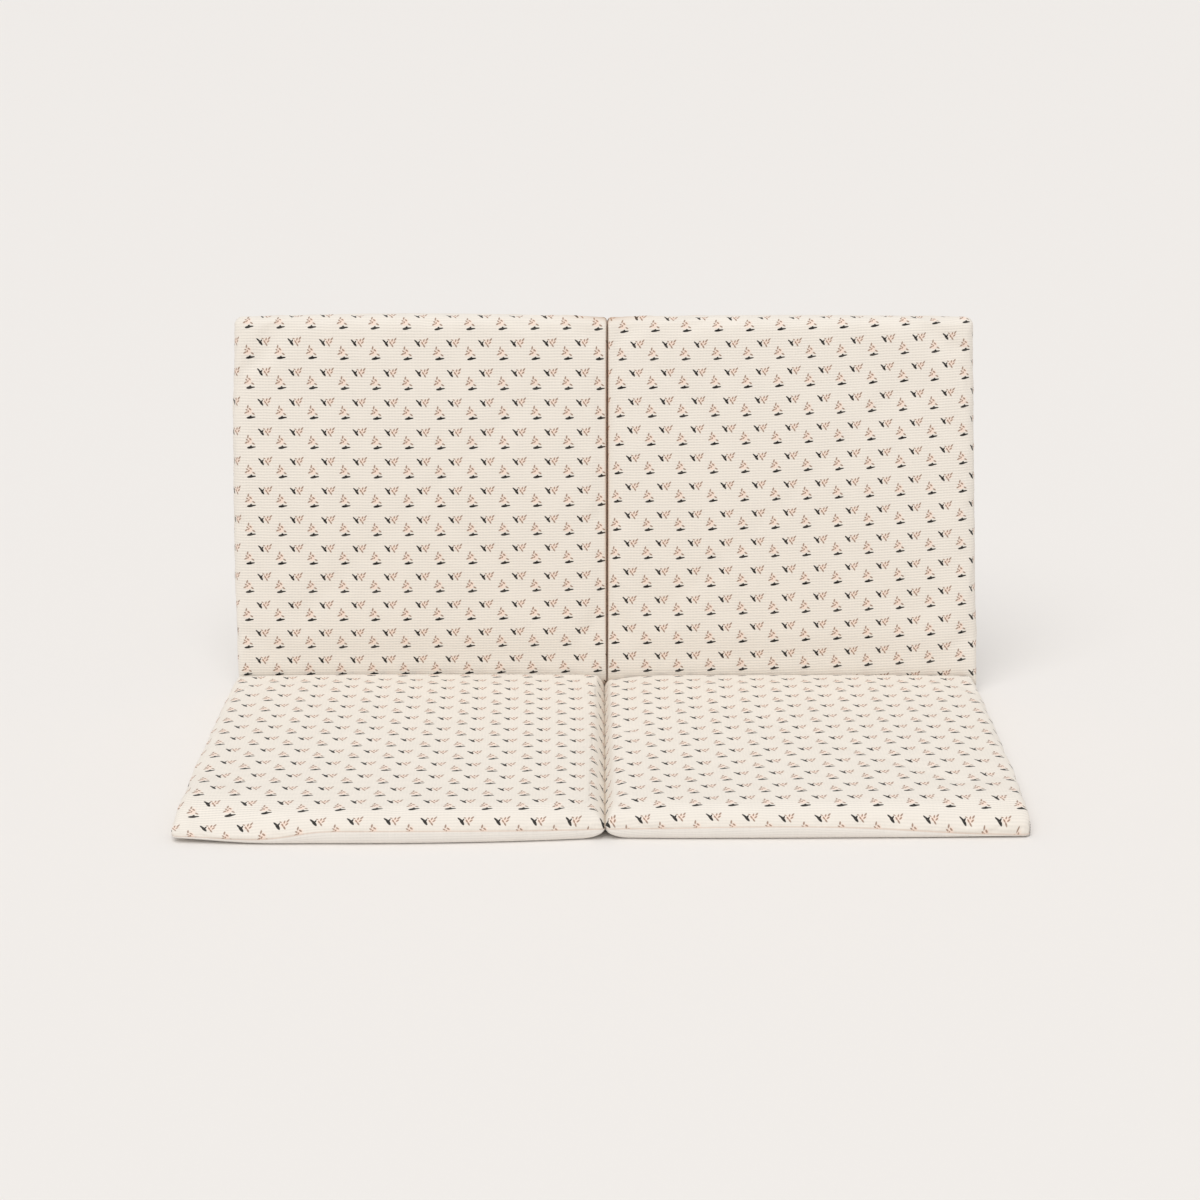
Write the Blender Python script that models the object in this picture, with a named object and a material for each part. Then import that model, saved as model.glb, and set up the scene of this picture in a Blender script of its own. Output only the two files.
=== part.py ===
"""A baby play mat of four padded panels in one sewn cover, folded once across its middle.

Two panels lie on the floor, and two stand up behind them and lean back. The whole mat is
modelled spread flat, +Y up the mat, with the middle of each pad's thickness at z = 0. The upper
half is then turned up about the stitch line that runs across it. Metres, +Z up. The origin is on
the floor, under the middle of the whole mat.
"""

import math

import bmesh
import bpy
from mathutils import Vector

MM = 0.001

# The mat as a whole.
MAT_WIDTH = 992 * MM
LOWER_LENGTH = 509 * MM  # from the fold to the front hem
UPPER_LENGTH = 502 * MM  # from the fold to the top hem
THICKNESS = 36 * MM
HALF_THICK = THICKNESS / 2
STITCH_X = {"lower": 0.5 * MM, "upper": 4 * MM}  # the long stitch line isn't quite straight
LEAN = math.radians(8)  # how far the standing half leans back from upright
FOLD_DROP = 15 * MM  # the standing half's weight draws the fold down to near the floor

# The stitch lines, where both cloths are sewn flat together.
NOSE_LOWER = 0.8 * MM  # from a stitch line to the edge of a pad that lies beside it
NOSE_UPPER = 0.7 * MM
NOSE_FOLD = 1.7 * MM
STITCH_THICK = 1.6 * MM
CLEAR = 0.3 * MM  # kept between two pieces
SINK_SHARPNESS = 6  # how near the fold the lying pads are pressed down
DROOP_SHARPNESS = 8  # how near the hem side their tops fall
DROOP_ACROSS = 118 * MM  # how far along the front, and how far back, the outer corner's fall goes
DROOP_BACK = 42 * MM

# The radius of each corner of a pad, seen from above, by the kinds of its side and its end.
CORNERS = {
    ("hem", "hem"): 8 * MM,
    ("hem", "front"): 8 * MM,
    ("valley", "front"): 5 * MM,
    ("crease", "hem"): 5 * MM,
    ("hem", "fold"): 6 * MM,
    ("valley", "fold"): 8 * MM,
    ("crease", "fold"): 5 * MM,
}
FOLD_BAND_INSET = 13 * MM  # from the mat's side to where the stitched band in the fold ends

# Where the halves press on each other. Near the fold both are flat along the plane halfway
# between them, and above it the lying pads take the shape of the standing pads' faces.
PRESS_ANGLE = (math.pi / 2 + LEAN) / 2
PRESS_GAP = 0.5 * MM
FACE_GAP = 1.3 * MM  # leaves room for the standing pads' crown
PRESS_SOFT = 1.2 * MM

# How finely a pad is meshed, counted from its middle to its rim, and how strongly the columns
# crowd towards the corners, where the cloth turns most.
FACE_RINGS = 6
EDGE_RINGS = 5
CORNER_CROWD = 0.40
BAND_STATIONS = 12

SIDES = ("left", "right", "near", "far")

# How a cloth turns over each kind of edge: how far in from the rim it starts to fall, and how
# square the turn is (2 is an ellipse, more is boxier, less is nearer to a slope). How far the
# valley between the lying pads reaches is in their own rows below.
TURNS = {
    "hem": {"reach": 15 * MM, "square": 3.4},
    "hem_under": {"reach": 13 * MM, "square": 3.2},
    "front": {"reach": 28 * MM, "square": 2.5},
    "front_under": {"reach": 13 * MM, "square": 3.2},
    "valley": {"square": 1.25},
    "valley_under": {"reach": 34 * MM, "square": 1.5},
    "crease": {"reach": 4 * MM, "square": 3.2},
    "crease_under": {"reach": 12 * MM, "square": 2.4},
    "fold": {"reach": 36 * MM, "square": 2.2},
    "fold_under": {"reach": 20 * MM, "square": 2.4},
}

# The seam between the printed and the plain cloth, from the middle of the thickness.
SEAM_AT = {"hem": -2 * MM, "front": 0.5 * MM, "valley": -4 * MM, "crease": 0.0, "fold": 0.0}

CREAM_PRINT = (0.86, 0.79, 0.70, 1)
CREAM_PLAIN = (0.88, 0.82, 0.74, 1)
THREAD = (0.80, 0.74, 0.66, 1)

# One row for each pad. The edges are named as seen from the front, near and far along the mat.
# crown: how much higher the middle is than the rim; bow: how far each side swells outwards at
# its middle; taper and flare: how much narrower the outer end is, and how much wider the end at
# the fold; longer: how much further the hem side reaches than the stitched side; valley: how
# far in from the rim the valley's slope reaches, at the front and at the fold; droop and
# corner_droop: how far the top falls along the hem side and at its outer corner; corner_lift
# and seam_drop: how far that corner rises and the seam falls there; sink: how far the end at
# the fold is pressed down; dip: how much further its corner in the middle of the mat is.
PADS = {
    "pad_lower_left": {
        "half": "lower",
        "side": "left",
        "crown": 3.5 * MM,
        "crown_under": 0.0,
        "bow": {"left": 4.0 * MM, "right": 0.0, "near": 12.0 * MM, "far": 0.0},
        "taper": -4.0 * MM,
        "flare": 0.0,
        "longer": 9.0 * MM,
        "valley": (19 * MM, 10 * MM),
        "droop": 4.5 * MM,
        "corner_droop": 19 * MM,
        "corner_lift": 5.5 * MM,
        "seam_drop": 15 * MM,
        "drop_reach": 145 * MM,
        "drop_square": 6,
        "sink": 3.0 * MM,
        "dip": 6.0 * MM,
        "dip_reach": 18 * MM,
    },
    "pad_lower_right": {
        "half": "lower",
        "side": "right",
        "crown": 3.2 * MM,
        "crown_under": 0.0,
        "bow": {"left": 0.0, "right": 3.5 * MM, "near": 4.0 * MM, "far": 0.0},
        "taper": 0.0,
        "flare": 0.0,
        "longer": -8.0 * MM,
        "valley": (12 * MM, 7 * MM),
        "droop": 2.0 * MM,
        "corner_droop": 7 * MM,
        "corner_lift": 2.5 * MM,
        "seam_drop": 13 * MM,
        "drop_reach": 120 * MM,
        "drop_square": 2,
        "sink": 4.5 * MM,
        "dip": 9.0 * MM,
        "dip_reach": 40 * MM,
    },
    "pad_upper_left": {
        "half": "upper",
        "side": "left",
        "crown": 4.0 * MM,
        "crown_under": 2.5 * MM,
        "bow": {"left": 3.0 * MM, "right": 0.0, "near": 0.0, "far": 5.0 * MM},
        "taper": 8.0 * MM,
        "flare": -1.5 * MM,
        "longer": 0.0,
        "droop": 0.0,
        "corner_droop": 0.0,
        "corner_lift": 0.0,
        "seam_drop": 5 * MM,
        "drop_reach": 70 * MM,
        "drop_square": 2,
        "sink": 0.0,
        "dip": 0.0,
        "dip_reach": 20 * MM,
    },
    "pad_upper_right": {
        "half": "upper",
        "side": "right",
        "crown": 3.6 * MM,
        "crown_under": 2.5 * MM,
        "bow": {"left": 0.0, "right": 0.5 * MM, "near": 0.0, "far": 3.0 * MM},
        "taper": 9.0 * MM,
        "flare": 9.0 * MM,
        "longer": 0.0,
        "droop": 0.0,
        "corner_droop": 0.0,
        "corner_lift": 0.0,
        "seam_drop": 5 * MM,
        "drop_reach": 70 * MM,
        "drop_square": 2,
        "sink": 0.0,
        "dip": 0.0,
        "dip_reach": 20 * MM,
    },
}


def mix(low, high, share):
    return low + (high - low) * share


def soft_max(first, second, soft):
    """The larger of two lengths, with the step between them rounded off."""
    apart = first - second
    return (first + second + math.sqrt(apart * apart + soft * soft)) / 2


def soft_min(first, second, soft):
    return -soft_max(-first, -second, soft)


def edge_kinds(pad):
    """What each side of a pad is: a hem, a stitched valley or crease, or the fold."""
    lower = pad["half"] == "lower"
    beside = "valley" if lower else "crease"
    return {
        "left": "hem" if pad["side"] == "left" else beside,
        "right": beside if pad["side"] == "left" else "hem",
        "near": "front" if lower else "fold",
        "far": "fold" if lower else "hem",
    }


def outline(pad):
    """The rectangle of a pad's seam, before its corners are rounded and its sides bowed."""
    lower = pad["half"] == "lower"
    nose = NOSE_LOWER if lower else NOSE_UPPER
    if pad["side"] == "left":
        low_x, high_x = -MAT_WIDTH / 2, STITCH_X[pad["half"]] - nose
    else:
        low_x, high_x = STITCH_X[pad["half"]] + nose, MAT_WIDTH / 2
    if lower:
        return low_x, high_x, -LOWER_LENGTH, -NOSE_FOLD
    return low_x, high_x, NOSE_FOLD, UPPER_LENGTH


def side_shares(a, b):
    """How much each side governs a place on a ring. It goes over smoothly at the corners."""
    sharpness = 8
    pulls = {
        "left": max(0.0, -a) ** sharpness,
        "right": max(0.0, a) ** sharpness,
        "near": max(0.0, -b) ** sharpness,
        "far": max(0.0, b) ** sharpness,
    }
    total = sum(pulls.values())
    return {side: pull / total for side, pull in pulls.items()}


def seam_height(pad, shares):
    """Height of the seam between the cloths, from the middle of the pad's thickness."""
    kinds = edge_kinds(pad)
    height = sum(shares[side] * SEAM_AT[kinds[side]] for side in SIDES)
    if pad["half"] == "lower":
        height -= shares["far"] * FOLD_DROP
    return height


def crowd(place):
    """Moves a place along a ring towards its nearer corner."""
    return place * (1 + CORNER_CROWD * (1 - place * place))


def press(y, z, pad):
    """Keeps a pad's cloth off the other half where the two meet in the fold."""
    if pad["half"] == "upper":
        least = (z * math.cos(PRESS_ANGLE) + PRESS_GAP) / math.sin(PRESS_ANGLE)
        return soft_max(y, least, PRESS_SOFT)
    height = z + FOLD_DROP
    between = (height * math.cos(PRESS_ANGLE) + PRESS_GAP) / math.sin(PRESS_ANGLE)
    face = (HALF_THICK + FACE_GAP) / math.cos(LEAN) - height * math.tan(LEAN)
    return -soft_max(-y, soft_min(between, face, PRESS_SOFT), PRESS_SOFT)


def ring_place(ring):
    """(turn, share) of a ring counted from the middle: turn is the angle up from the seam, and
    share is how much of the way from the middle to the inner end of the edge it lies."""
    if ring <= FACE_RINGS:
        return math.pi / 2, ring / FACE_RINGS
    return math.pi / 2 * (1 - (ring - FACE_RINGS) / EDGE_RINGS), 1.0


def corner_radius(kinds, a, b):
    """The radius of the corner nearest to a place on a ring."""
    return CORNERS[kinds["right" if a > 0 else "left"], kinds["far" if b > 0 else "near"]]


def edge_reach(pad, edge, b):
    """How far in from the rim an edge's turn reaches. The valley opens from fold to front."""
    front, fold = (edge["reach"],) * 2 if "reach" in edge else pad["valley"]
    return mix(front, fold, (b + 1) / 2)


def rounded(x, y, box, radius):
    """Pulls a point on a rectangle's rim onto the rectangle with its corners rounded."""
    low_x, high_x, low_y, high_y = box
    inner_x = min(max(x, low_x + radius), high_x - radius)
    inner_y = min(max(y, low_y + radius), high_y - radius)
    off = Vector((x - inner_x, y - inner_y))
    if off.length > radius:
        off = off.normalized() * radius
    return inner_x + off.x, inner_y + off.y


def pad_point(pad, column, row, under):
    """A point of a pad's printed cloth, or of its under cloth, for a column and row that run
    from minus to plus the number of rings."""
    ring = max(abs(column), abs(row))
    a, b = (crowd(column / ring), crowd(row / ring)) if ring else (0.0, 0.0)
    turn, share = ring_place(ring)
    kinds = edge_kinds(pad)
    shares = side_shares(a, b) if ring else dict.fromkeys(SIDES, 0.25)
    tail = "_under" if under else ""
    turns = {side: TURNS[kinds[side] + tail] for side in SIDES}

    # The ring's own rectangle: each side is drawn in as far as its cloth has turned.
    low_x, high_x, low_y, high_y = outline(pad)
    inset = {
        side: edge_reach(pad, edge, b) * (1 - max(0.0, math.cos(turn)) ** (2 / edge["square"]))
        for side, edge in turns.items()
    }
    box = (
        low_x + inset["left"],
        high_x - inset["right"],
        low_y + inset["near"],
        high_y - inset["far"],
    )
    middle_x, middle_y = (box[0] + box[1]) / 2, (box[2] + box[3]) / 2
    x = mix(middle_x, mix(box[0], box[1], (a + 1) / 2), share)
    y = mix(middle_y, mix(box[2], box[3], (b + 1) / 2), share)
    radius = corner_radius(kinds, a, b)
    middles = (middle_x, middle_x, middle_y, middle_y)
    ring_box = [mix(middle, edge, share) for middle, edge in zip(middles, box)]
    x, y = rounded(x, y, ring_box, radius * share)

    # Height above the stitched cross.
    square = sum(shares[side] * turns[side]["square"] for side in SIDES)
    rise = max(0.0, math.sin(turn)) ** (2 / square)
    seam = seam_height(pad, shares)
    corner_x = low_x if pad["side"] == "left" else high_x
    corner_y = low_y if pad["half"] == "lower" else high_y
    to_corner = math.hypot(x - corner_x, y - corner_y) / pad["drop_reach"]
    seam -= pad["seam_drop"] * math.exp(-(to_corner ** pad["drop_square"]))
    across = 2 * (x - low_x) / (high_x - low_x) - 1
    along = 2 * (y - low_y) / (high_y - low_y) - 1
    to_hem = (1 - across) / 2 if pad["side"] == "left" else (1 + across) / 2
    swell = max(0.0, 1 - across * across) * max(0.0, 1 - along * along)
    if under:
        z = mix(seam, -HALF_THICK - pad["crown_under"] * swell, rise)
    else:
        z = mix(seam, HALF_THICK + pad["crown"] * swell, rise)
    z += pad["corner_lift"] * math.exp(-4 * to_corner * to_corner)
    if not under:
        inner_x = high_x if pad["side"] == "left" else low_x
        inner_y = high_y if pad["half"] == "lower" else low_y
        to_inner = math.hypot(x - inner_x, y - inner_y) / pad["dip_reach"]
        z -= pad["dip"] * rise * math.exp(-to_inner * to_inner)
        z -= pad["sink"] * rise * max(0.0, (1 + along) / 2) ** SINK_SHARPNESS
        z -= pad["droop"] * rise * max(0.0, to_hem) ** DROOP_SHARPNESS
        near_corner = ((x - corner_x) / DROOP_ACROSS) ** 2 + ((y - corner_y) / DROOP_BACK) ** 2
        z -= pad["corner_droop"] * rise * math.exp(-near_corner)

    # The sides swell, and the ends are not quite as wide nor the sides as long as each other.
    outer = (1 + along) / 2 if pad["half"] == "upper" else (1 - along) / 2
    bow_x = pad["bow"]["right"] if across > 0 else pad["bow"]["left"]
    at_hem = kinds["right" if across > 0 else "left"] == "hem"
    bow_y = pad["bow"]["far"] if along > 0 else pad["bow"]["near"]
    x += across * bow_x * (1 - along * along)
    if at_hem:
        x -= across * (pad["taper"] * outer**2 - pad["flare"] * (1 - outer) ** 2)
    y += along * bow_y * (1 - across * across)
    y -= pad["longer"] * outer * to_hem

    return Vector((x, press(y, z, pad), z))


def cloth_grid(mesh, pad, under):
    """Adds a pad's printed or under cloth to a bmesh, as a grid bent to the pad's shape."""
    rings = FACE_RINGS + EDGE_RINGS
    made = bmesh.ops.create_grid(mesh, x_segments=2 * rings, y_segments=2 * rings, size=rings)
    faces = {face for vertex in made["verts"] for face in vertex.link_faces}
    for vertex in made["verts"]:
        vertex.co = pad_point(pad, round(vertex.co.x), round(vertex.co.y), under)
    if under:
        bmesh.ops.reverse_faces(mesh, faces=list(faces))


def material(name, colour, roughness):
    made = bpy.data.materials.new(name)
    made.use_nodes = True
    shader = made.node_tree.nodes["Principled BSDF"]
    shader.inputs["Base Color"].default_value = colour
    shader.inputs["Roughness"].default_value = roughness
    shader.inputs["Metallic"].default_value = 0.0
    return made


def add_object(name, mesh, parent, finish):
    """Makes an object from a bmesh, smooth but for its sharp edges."""
    data = bpy.data.meshes.new(name)
    mesh.to_mesh(data)
    mesh.free()
    data.materials.append(finish)
    data.shade_smooth()
    data.set_sharp_from_angle(angle=math.radians(60))
    made = bpy.data.objects.new(name, data)
    bpy.context.scene.collection.objects.link(made)
    made.parent = parent
    return made


def add_pad(name, pad, parent, finishes):
    """A filled pad: the printed cloth and the under cloth, sewn together along its rim."""
    mesh = bmesh.new()
    cloth_grid(mesh, pad, under=False)
    printed = set(mesh.faces)
    cloth_grid(mesh, pad, under=True)
    for face in mesh.faces:
        face.material_index = 0 if face in printed else 1
    bmesh.ops.remove_doubles(mesh, verts=mesh.verts, dist=1e-6)
    made = add_object(name, mesh, parent, finishes[0])
    made.data.materials.append(finishes[1])
    return made


def add_stitch_band(name, parent, finish, pad, width):
    """The two cloths sewn flat together beside a pad: a narrow band that follows its seam."""
    low_y, high_y = outline(pad)[2:]
    stitch_x = STITCH_X[pad["half"]]
    if pad["half"] == "lower":
        start, end = low_y + CORNERS["valley", "front"], high_y - CORNERS["valley", "fold"]
    else:
        start, end = low_y + CLEAR, high_y - CORNERS["crease", "hem"]
    mesh = bmesh.new()
    rings = []
    for station in range(BAND_STATIONS + 1):
        y = mix(start, end, (crowd(2 * station / BAND_STATIONS - 1) + 1) / 2)
        shares = side_shares(1.0, 2 * (y - low_y) / (high_y - low_y) - 1)
        z = seam_height(pad, shares)
        rings.append(
            [
                mesh.verts.new((stitch_x + side * width / 2, y, z + top * STITCH_THICK / 2))
                for side, top in ((-1, -1), (1, -1), (1, 1), (-1, 1))
            ]
        )
    for ring, following in zip(rings, rings[1:]):
        for corner in range(4):
            beyond = (corner + 1) % 4
            mesh.faces.new((ring[corner], ring[beyond], following[beyond], following[corner]))
    mesh.faces.new(rings[0])
    mesh.faces.new(rings[-1])
    bmesh.ops.recalc_face_normals(mesh, faces=mesh.faces)
    return add_object(name, mesh, parent, finish)


def add_fold_band(name, parent, finish):
    """The band along the fold: the same sewn cloths, bent where the upper half turns up."""
    reach = NOSE_FOLD - CLEAR
    half = STITCH_THICK / 2
    up_mat = Vector((math.sin(LEAN), math.cos(LEAN)))
    to_front = Vector((-math.cos(LEAN), math.sin(LEAN)))
    halfway = (Vector((0, 1)) + to_front).normalized()
    bend = half / math.cos((math.pi / 2 - LEAN) / 2)
    section = [
        Vector((-reach, half)),
        Vector((-reach, -half)),
        -halfway * bend,
        up_mat * reach - to_front * half,
        up_mat * reach + to_front * half,
        halfway * bend,
    ]
    end = MAT_WIDTH / 2 - FOLD_BAND_INSET
    mesh = bmesh.new()
    ring = [mesh.verts.new((-end, point.x, point.y)) for point in section]
    cap = mesh.faces.new(ring)
    sides = bmesh.ops.extrude_face_region(mesh, geom=[cap])
    moved = [item for item in sides["geom"] if isinstance(item, bmesh.types.BMVert)]
    bmesh.ops.translate(mesh, verts=moved, vec=(2 * end, 0, 0))
    bmesh.ops.recalc_face_normals(mesh, faces=mesh.faces)
    return add_object(name, mesh, parent, finish)


def add_empty(name, parent=None):
    made = bpy.data.objects.new(name, None)
    bpy.context.scene.collection.objects.link(made)
    made.parent = parent
    return made


def footprint_middle():
    """The middle of the whole mat along X and Y, from every solid's own corners."""
    bpy.context.view_layer.update()
    places = [
        made.matrix_world @ vertex.co
        for made in bpy.context.scene.objects
        if made.type == "MESH"
        for vertex in made.data.vertices
    ]
    low = [min(place[axis] for place in places) for axis in (0, 1)]
    high = [max(place[axis] for place in places) for axis in (0, 1)]
    return [(start + end) / 2 for start, end in zip(low, high)]


def main():
    for old in list(bpy.data.objects):
        bpy.data.objects.remove(old)

    printed = material("printed_cloth", CREAM_PRINT, 0.9)
    plain = material("plain_cloth", CREAM_PLAIN, 0.9)
    thread = material("stitched_cloth", THREAD, 0.9)

    mat = add_empty("mat")
    mat.location.z = HALF_THICK - FOLD_DROP
    lower = add_empty("lower_half", mat)
    lower.location.z = FOLD_DROP
    upper = add_empty("upper_half", mat)
    upper.rotation_euler.x = math.pi / 2 - LEAN

    for name, pad in PADS.items():
        add_pad(name, pad, lower if pad["half"] == "lower" else upper, (printed, plain))

    add_stitch_band(
        "stitch_lower", lower, thread, PADS["pad_lower_left"], 2 * (NOSE_LOWER - CLEAR)
    )
    add_stitch_band(
        "stitch_upper", upper, thread, PADS["pad_upper_left"], 2 * (NOSE_UPPER - CLEAR)
    )
    add_fold_band("stitch_fold", mat, thread)

    middle_x, middle_y = footprint_middle()
    mat.location.x = -middle_x
    mat.location.y = -middle_y


main()
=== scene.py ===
"""A baby play mat: four padded panels in one sewn cotton cover, folded once across its middle.

Two panels lie on the floor and two stand up behind them. The cover is cream waffle cotton with
a small sprig print above and plain cream cotton below, and a short cloth simulation fills it
out. Everything is in metres, in the frame's own place, and each finish is made from nodes.
"""

import math

import bpy
import numpy as np
from mathutils import Matrix, Vector


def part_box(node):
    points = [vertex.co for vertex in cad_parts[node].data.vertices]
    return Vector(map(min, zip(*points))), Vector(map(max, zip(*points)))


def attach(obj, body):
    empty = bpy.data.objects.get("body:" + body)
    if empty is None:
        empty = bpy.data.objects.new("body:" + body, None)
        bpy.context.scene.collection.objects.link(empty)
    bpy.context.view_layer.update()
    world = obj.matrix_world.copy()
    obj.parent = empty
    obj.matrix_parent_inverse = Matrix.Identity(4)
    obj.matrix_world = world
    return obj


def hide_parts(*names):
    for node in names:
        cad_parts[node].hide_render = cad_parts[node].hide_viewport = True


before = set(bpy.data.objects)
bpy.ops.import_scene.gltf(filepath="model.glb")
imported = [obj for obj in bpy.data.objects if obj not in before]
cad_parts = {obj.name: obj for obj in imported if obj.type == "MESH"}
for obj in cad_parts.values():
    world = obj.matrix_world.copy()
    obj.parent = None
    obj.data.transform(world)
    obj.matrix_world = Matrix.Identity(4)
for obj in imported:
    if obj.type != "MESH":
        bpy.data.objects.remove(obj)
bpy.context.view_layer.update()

# The camera stands in front of the mat and looks down on it, as the photograph does. It is
# placed from the fold, which the stitched band between the two halves marks.
CAMERA_BEFORE_FOLD = 3.13
CAMERA_HEIGHT = 1.135
CAMERA_PITCH = math.radians(17.8)  # how far below level it looks
CAMERA_LENS = 73.5  # millimetres, on a sensor 36 wide
CAMERA_LEFT = 0.0055  # how far it stands left of the mat's middle

fold_low, fold_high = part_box("stitch_fold")
fold_x = (fold_low.x + fold_high.x) / 2
camera_data = bpy.data.cameras.new("camera")
camera_data.lens = CAMERA_LENS
camera_data.sensor_width = 36
camera = bpy.data.objects.new("camera", camera_data)
camera.location = (fold_x - CAMERA_LEFT, fold_low.y - CAMERA_BEFORE_FOLD, CAMERA_HEIGHT)
camera.rotation_euler.x = math.pi / 2 - CAMERA_PITCH
bpy.context.scene.collection.objects.link(camera)
bpy.context.scene.camera = camera

# The room: an even white surround, one broad soft light from above the front left, and a
# plain pale floor.
SURROUND_STRENGTH = 0.63
LIGHT_STRENGTH = 1.5
LIGHT_SPREAD = math.radians(50)
LIGHT_FROM = Vector((-0.16, -0.56, 1.0))
FLOOR_COLOUR = (237, 233, 229)
FLOOR_HALF = 30  # metres from the floor's middle to its edges, which the camera doesn't see


def srgb(red, green, blue):
    """A colour as a screen shows it, 0 to 255, turned into the linear values that nodes take."""
    linear = [
        value / 12.92 if value <= 0.04045 else ((value + 0.055) / 1.055) ** 2.4
        for value in (red / 255, green / 255, blue / 255)
    ]
    return (*linear, 1)


scene = bpy.context.scene
scene.view_settings.view_transform = "Standard"
scene.world = bpy.data.worlds.new("surround")
scene.world.use_nodes = True
surround = scene.world.node_tree.nodes["Background"]
surround.inputs["Color"].default_value = (1, 1, 1, 1)
surround.inputs["Strength"].default_value = SURROUND_STRENGTH

light_data = bpy.data.lights.new("soft_light", "SUN")
light_data.energy = LIGHT_STRENGTH
light_data.angle = LIGHT_SPREAD
light = bpy.data.objects.new("soft_light", light_data)
light.rotation_euler = (-LIGHT_FROM).to_track_quat("-Z", "Y").to_euler()
scene.collection.objects.link(light)

floor_mesh = bpy.data.meshes.new("floor")
floor_mesh.from_pydata(
    [(x * FLOOR_HALF, y * FLOOR_HALF, 0) for x, y in ((-1, -1), (1, -1), (1, 1), (-1, 1))],
    [],
    [(0, 1, 2, 3)],
)
floor = bpy.data.objects.new("floor", floor_mesh)
scene.collection.objects.link(floor)
floor_finish = bpy.data.materials.new("pale_floor")
floor_finish.use_nodes = True
floor_shader = floor_finish.node_tree.nodes["Principled BSDF"]
floor_shader.inputs["Base Color"].default_value = srgb(*FLOOR_COLOUR)
floor_shader.inputs["Roughness"].default_value = 0.8
floor_mesh.materials.append(floor_finish)

# The cover's cloths. Above is waffle cotton, woven in small raised squares and printed all over
# with two little sprigs in turn. Below is the same cream cotton without a print. Lengths on the
# cloth are in millimetres here, and the depths of its relief in metres.
PRINT_ACROSS = 42.4  # from a sprig to the next of its kind
PRINT_UP = 38.5
WAFFLE_ACROSS = 4.01
WAFFLE_UP = 3.65
WAFFLE_DEPTH = 0.00016
RIDGE_SHARPNESS = 2.5
COLUMN_SHARE = 0.25  # how strong the waffle's upright ridges are beside its level ones
WOBBLE = 1.4  # how far the weave strays from straight lines
WOBBLE_SCALE = 0.05
THREAD_PITCH = 0.62
THREAD_DEPTH = 0.00012
THREAD_UNEVEN = 0.35
STRETCH_REACH = 38.0  # how far from a seam the waffle is pulled flatter over the foam's edge
STRETCH_SHARE = 0.55
STRETCHED_SHADE = 0.45  # the shade value of flattened waffle, from a pit's 0, painted darkest, to a ridge's 1
RIDGE_TOP = 0.9  # how high up a ridge the shade value is full, with the painted pit shade gone
PIT_SHADE_SHARE = 0.935  # painted shade in the waffle's pits: a pit's colour is this share of the cloth's, and some levels darker
PIT_SHADE_DARKER = 3
MOTTLE_SHARE = 0.985  # the cloth's darker places beside its own colour
MOTTLE_SCALE = 0.02
MOTTLE_EDGE = (0.4, 0.75)
MOTTLE_COVER = 0.5
PUCKER_PITCH = 7.0  # the small gathers along a seam
PUCKER_REACH = 16.0
PUCKER_DEPTH = 0.0016
PUCKER_LONG = 0.02  # how little a gather changes on its way from the seam
SEAM_LINE = 1.6  # how far from the seam its shadowed line reaches, and where it is full
SEAM_LINE_FULL = 0.2
CREAM = (243, 235, 224)
CREAM_BELOW = (248, 242, 234)
LEAF_INK = (10, 9, 7)
PETAL_INK = (138, 100, 76)
BLUSH_INK = (246, 219, 202)
CREASE_SHADE = (180, 124, 66)  # painted shade on the cloth deep in a stitched crease
SEAM_SHADE = (214, 186, 166)  # the shadowed line where the two cloths are sewn together
ROUGHNESS = 0.92
# For each ink, the sizes of a stroke, as shares of its own, at which the ink begins and is full.
LEAF_EDGE = (1.4, 1.15)
PETAL_EDGE = (1.4, 0.7)
BLUSH_EDGE = (1.25, 0.35)
# How far each ink and shade covers the cloth where it is full. A pit of the waffle takes a little
# less ink than a ridge.
PETAL_COVER = 0.85
BLUSH_COVER = 0.75
CREASE_SHADE_COVER = 0.9
SEAM_COVER = 0.5
PIT_INK = 0.92

# The strokes of a sprig, from the middle of its dark leaf: how far across and up, how long,
# how wide, in millimetres, and how far turned from level, in degrees.
UPRIGHT_SPRIG = {
    "leaf": (
        {"across": -0.7, "up": -0.4, "length": 7.4, "width": 2.5, "turn": 8},
        {"across": -0.2, "up": 0.7, "length": 3.2, "width": 2.0, "turn": 55},
        {"across": 3.0, "up": 0.1, "length": 5.8, "width": 1.6, "turn": 7},
    ),
    "petal": (
        {"across": -3.8, "up": 13.6, "length": 4.4, "width": 2.0, "turn": 78},
        {"across": -0.7, "up": 10.5, "length": 3.9, "width": 1.9, "turn": -38},
        {"across": -5.3, "up": 9.5, "length": 3.2, "width": 1.7, "turn": -30},
        {"across": -6.3, "up": 5.9, "length": 4.4, "width": 1.9, "turn": 28},
        {"across": -3.0, "up": 7.4, "length": 3.2, "width": 1.6, "turn": 60},
        {"across": 3.6, "up": 4.7, "length": 4.2, "width": 1.9, "turn": -30},
    ),
    "blush": (
        {"across": -1.6, "up": 8.2, "length": 11.0, "width": 8.5, "turn": 70},
        {"across": -2.2, "up": 5.0, "length": 9.5, "width": 4.5, "turn": 6},
    ),
}
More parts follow.
